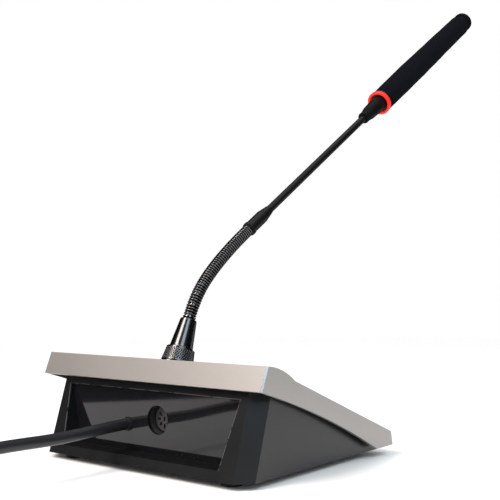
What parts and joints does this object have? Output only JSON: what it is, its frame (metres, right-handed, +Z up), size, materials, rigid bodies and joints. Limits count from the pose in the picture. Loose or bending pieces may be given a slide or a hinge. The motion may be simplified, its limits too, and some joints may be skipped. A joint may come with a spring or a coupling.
{
  "type": "conference microphone",
  "caption": "Sloped desktop conference unit with a gooseneck microphone, red light ring, talk button, loudspeaker, rear link socket and captive lead.",
  "frame": {"origin": "on the table, under the middle of the base", "axes": "+X to the right as the person speaking sees it, +Y to the rear, +Z up"},
  "size_m": [0.1944, 0.6736, 0.2948],
  "materials": {
    "satin_aluminium": "satin",
    "black_case": "fine texture",
    "gloss_black": "gloss",
    "steel": "plain",
    "rubber": "matte",
    "green_board": "solder mask",
    "black_parts": "matte",
    "bright_metal": "plated",
    "gold_contact": "plated",
    "black_jacket": "semi-matte",
    "speaker_cloth": "woven",
    "grey_key": "fine texture",
    "white_plastic": "plain",
    "black_metal": "semi-gloss",
    "black_alloy": "black anodised, semi-gloss",
    "capsule_metal": "plain",
    "red_light": "lit",
    "black_foam": "open foam"
  },
  "bodies": {
    "base": {"top_cover": "satin_aluminium", "base_shell": "black_case", "rear_panel": "gloss_black", "ballast_plate": "steel", "rubber_feet": "rubber", "case_screws": "steel", "main_board": "green_board", "board_parts": "black_parts", "board_screws": "steel", "socket_shell": "bright_metal", "socket_insert": "black_parts", "socket_contacts": "gold_contact", "cable_gland": "rubber", "cord": "black_jacket", "cord_coil": "black_jacket", "cord_tie": "black_jacket", "plug_body": "black_parts", "plug_shield": "bright_metal", "plug_insert": "black_parts", "plug_pins": "gold_contact", "speaker_cloth": "speaker_cloth", "speaker_basket": "steel", "speaker_cone": "speaker_cloth", "speaker_magnet": "steel", "talk_switch": "black_parts", "switch_board": "green_board", "mic_socket": "black_metal", "mic_socket_nut": "bright_metal", "mic_socket_insert": "black_parts", "mic_plug": "black_metal", "mic_plug_pins": "gold_contact"},
    "sleeve": {"lock_sleeve": "gloss_black"},
    "talk": {"talk_button": "grey_key", "switch_plunger": "white_plastic"},
    "link_1": {"neck_link_1": "black_metal"},
    "link_2": {"neck_link_2": "black_metal"},
    "link_3": {"neck_link_3": "black_metal"},
    "link_4": {"neck_link_4": "black_metal"},
    "link_5": {"neck_link_5": "black_metal"},
    "link_6": {"neck_link_6": "black_metal"},
    "link_7": {"neck_link_7": "black_metal"},
    "link_8": {"neck_link_8": "black_metal"},
    "link_9": {"neck_link_9": "black_metal"},
    "link_10": {"neck_link_10": "black_metal"},
    "link_11": {"neck_link_11": "black_metal"},
    "head": {"neck_ferrule": "black_metal", "stem_tube": "black_metal", "head_cone": "black_alloy", "light_ring": "red_light", "light_board": "black_parts", "head_tube": "black_alloy", "capsule": "capsule_metal", "windscreen": "black_foam", "end_cap": "black_alloy"}
  },
  "joints": [
    {"name": "talk_press", "type": "slide", "parent": "base", "child": "talk", "axis": [0, 0.3827, -0.9239], "range_m": [0, 0.0012], "stiffness_N_per_m": 800, "springref_m": -0.001},
    {"name": "sleeve_turn", "type": "hinge", "parent": "base", "child": "sleeve", "pos_m": [0, 0.0267, 0.04546], "axis": [0, -0.3827, 0.9239], "continuous": true},
    {"name": "neck_bend_1", "type": "hinge", "parent": "base", "child": "link_1", "pos_m": [0, 0.01556, 0.07234], "axis": [1, 0, 0], "range_deg": [-15, 5]},
    {"name": "neck_side_1", "type": "hinge", "parent": "link_1", "child": "link_2", "pos_m": [0, 0.01289, 0.07771], "axis": [0, 0.8526, 0.5225], "range_deg": [-10, 10]},
    {"name": "neck_bend_2", "type": "hinge", "parent": "link_2", "child": "link_3", "pos_m": [0, 0.00975, 0.08283], "axis": [1, 0, 0], "range_deg": [-15, 5]},
    {"name": "neck_side_2", "type": "hinge", "parent": "link_3", "child": "link_4", "pos_m": [0, 0.0061, 0.08759], "axis": [0, 0.7254, 0.6884], "range_deg": [-10, 10]},
    {"name": "neck_bend_3", "type": "hinge", "parent": "link_4", "child": "link_5", "pos_m": [0, 0.00197, 0.09194], "axis": [1, 0, 0], "range_deg": [-15, 5]},
    {"name": "neck_side_3", "type": "hinge", "parent": "link_5", "child": "link_6", "pos_m": [0, -0.00242, 0.09603], "axis": [0, 0.6468, 0.7627], "range_deg": [-10, 10]},
    {"name": "neck_bend_4", "type": "hinge", "parent": "link_6", "child": "link_7", "pos_m": [0, -0.007, 0.09992], "axis": [1, 0, 0], "range_deg": [-15, 5]},
    {"name": "neck_side_4", "type": "hinge", "parent": "link_7", "child": "link_8", "pos_m": [0, -0.01169, 0.10365], "axis": [0, 0.6018, 0.7986], "range_deg": [-10, 10]},
    {"name": "neck_bend_5", "type": "hinge", "parent": "link_8", "child": "link_9", "pos_m": [0, -0.01648, 0.10726], "axis": [1, 0, 0], "range_deg": [-15, 5]},
    {"name": "neck_side_5", "type": "hinge", "parent": "link_9", "child": "link_10", "pos_m": [0, -0.02137, 0.11074], "axis": [0, 0.5635, 0.8261], "range_deg": [-10, 10]},
    {"name": "neck_bend_6", "type": "hinge", "parent": "link_10", "child": "link_11", "pos_m": [0, -0.02632, 0.11413], "axis": [1, 0, 0], "range_deg": [-15, 5]},
    {"name": "neck_side_6", "type": "hinge", "parent": "link_11", "child": "head", "pos_m": [0, -0.03133, 0.11743], "axis": [0, 0.5432, 0.8396], "range_deg": [-10, 10]}
  ]
}
